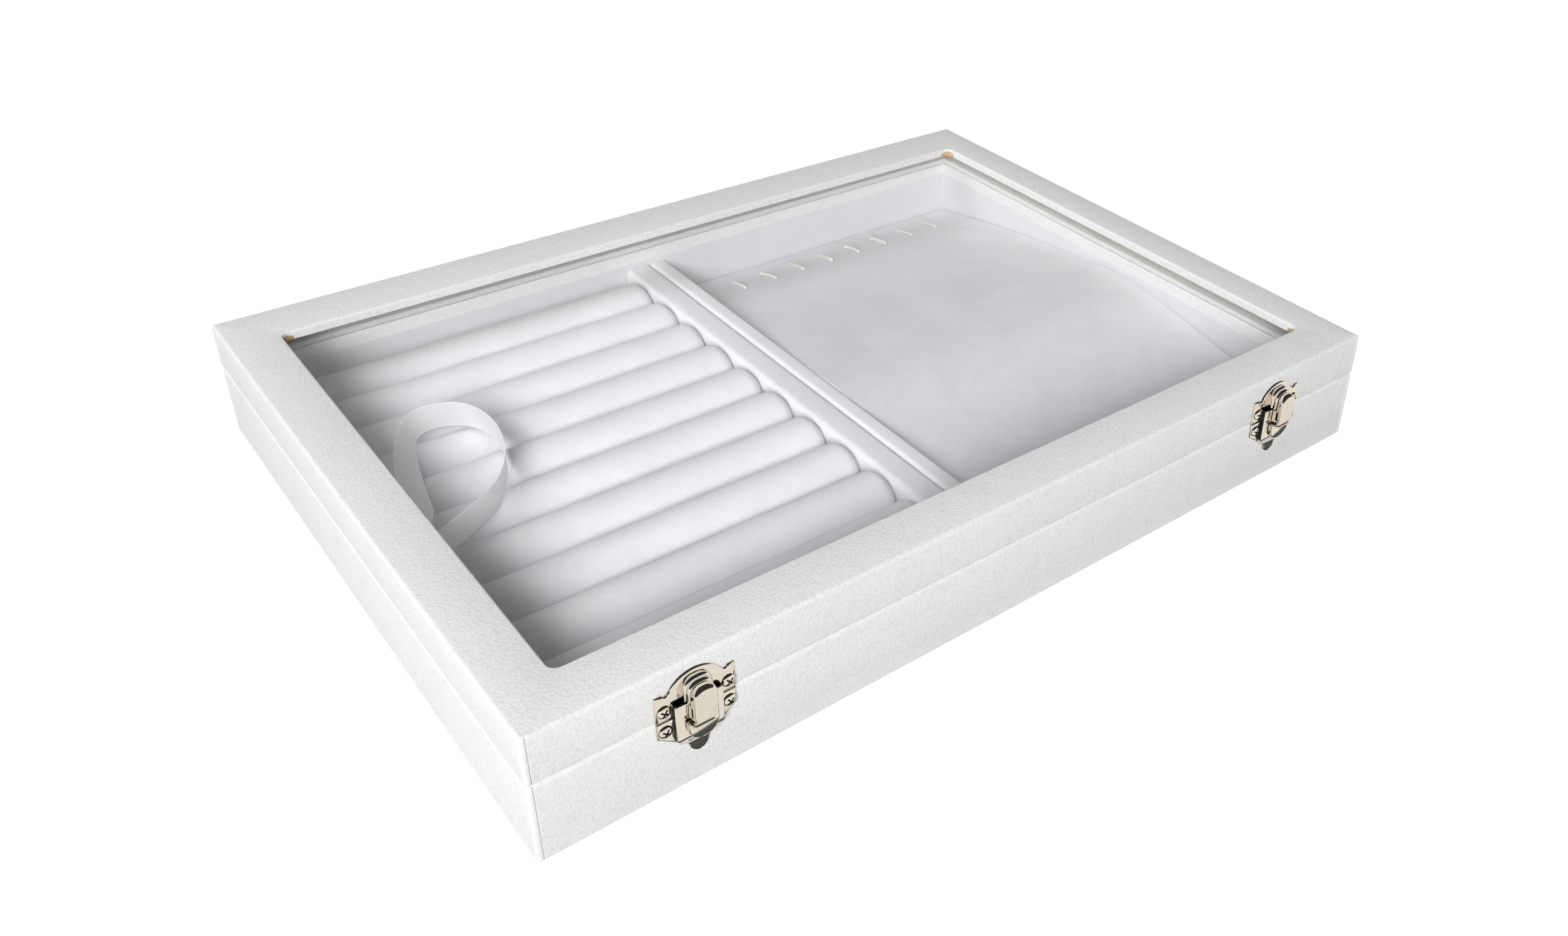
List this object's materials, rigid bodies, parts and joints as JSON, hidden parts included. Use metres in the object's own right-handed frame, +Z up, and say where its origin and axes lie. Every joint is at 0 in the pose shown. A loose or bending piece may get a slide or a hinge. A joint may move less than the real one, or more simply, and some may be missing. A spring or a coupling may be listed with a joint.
{
  "type": "ring display box",
  "caption": "Low case with a hinged glass-window lid, two front draw catches, a bay of foam ring rolls and a padded necklace board.",
  "frame": {"origin": "on the supporting surface, under the middle of the footprint", "axes": "+X along the front from the ring bay to the necklace board, +Y from the catches to the hinges, +Z up"},
  "size_m": [0.35, 0.2692, 0.0466],
  "materials": {
    "leatherette": "white fine-grained leatherette, matt",
    "fibreboard": "raw medium-density fibreboard",
    "paper": "plain uncoated lining paper",
    "velvet": "short-pile white velvet on card or foam",
    "lid_lining": "pale grey velvet strip",
    "foam": "soft cream polyurethane foam",
    "loop_cord": "cream elastic cord",
    "satin": "thin white satin ribbon",
    "glass": "clear float glass",
    "nickel": "bright nickel-plated pressed steel"
  },
  "bodies": {
    "base": {"bottom_paper": "paper", "base_floor": "fibreboard", "base_wall_front": "fibreboard", "base_wall_back": "fibreboard", "base_wall_left": "fibreboard", "base_wall_right": "fibreboard", "base_cover": "leatherette", "base_lining": "velvet", "ring_tray_board": "velvet", "tray_end_bar": "velvet", "divider": "velvet", "necklace_foam": "foam", "necklace_board": "velvet", "necklace_loops": "loop_cord", "ring_roll_1": "velvet", "ring_roll_2": "velvet", "ring_roll_3": "velvet", "ring_roll_4": "velvet", "ring_roll_5": "velvet", "ring_roll_6": "velvet", "ring_roll_7": "velvet", "ring_roll_8": "velvet", "ring_roll_9": "velvet", "ring_roll_10": "velvet", "ring_roll_11": "velvet", "lid_stay_ribbon": "satin", "catch_base_screws": "nickel", "hinge_base_screws": "nickel", "catch_base_plate_left": "nickel", "catch_base_plate_right": "nickel", "catch_lever_pin_left": "nickel", "catch_lever_pin_right": "nickel", "hinge_base_leaf_left": "nickel", "hinge_base_leaf_right": "nickel", "hinge_pin_left": "nickel", "hinge_pin_right": "nickel"},
    "lid": {"lid_wall_front": "fibreboard", "lid_wall_back": "fibreboard", "lid_wall_left": "fibreboard", "lid_wall_right": "fibreboard", "lid_frame_board": "fibreboard", "lid_cover": "leatherette", "glass_pane": "glass", "lid_lining": "lid_lining", "catch_lid_screws": "nickel", "hinge_lid_screws": "nickel", "catch_lid_plate_left": "nickel", "catch_lid_plate_right": "nickel", "hinge_lid_leaf_left": "nickel", "hinge_lid_leaf_right": "nickel"},
    "lever_left": {"catch_lever_left": "nickel"},
    "hook_left": {"catch_hook_left": "nickel", "catch_hook_pin_left": "nickel"},
    "lever_right": {"catch_lever_right": "nickel"},
    "hook_right": {"catch_hook_right": "nickel", "catch_hook_pin_right": "nickel"}
  },
  "joints": [
    {"name": "lid_hinge", "type": "hinge", "parent": "base", "child": "lid", "pos_m": [0, 0.133, 0.029], "axis": [-1, 0, 0], "range_deg": [0, 95], "deforming": ["lid_stay_ribbon"]},
    {"name": "catch_lever_left", "type": "hinge", "parent": "base", "child": "lever_left", "pos_m": [-0.125, -0.1319, 0.032], "axis": [-1, 0, 0], "range_deg": [0, 60]},
    {"name": "catch_hook_left", "type": "hinge", "parent": "lever_left", "child": "hook_left", "pos_m": [-0.125, -0.13265, 0.0294], "axis": [1, 0, 0], "range_deg": [0, 81]},
    {"name": "catch_lever_right", "type": "hinge", "parent": "base", "child": "lever_right", "pos_m": [0.125, -0.1319, 0.032], "axis": [-1, 0, 0], "range_deg": [0, 60]},
    {"name": "catch_hook_right", "type": "hinge", "parent": "lever_right", "child": "hook_right", "pos_m": [0.125, -0.13265, 0.0294], "axis": [1, 0, 0], "range_deg": [0, 81]}
  ],
  "couplings": [
    {"joint": "catch_hook_left", "follows": "catch_lever_left", "ratio": 1.35},
    {"joint": "catch_hook_right", "follows": "catch_lever_right", "ratio": 1.35}
  ]
}
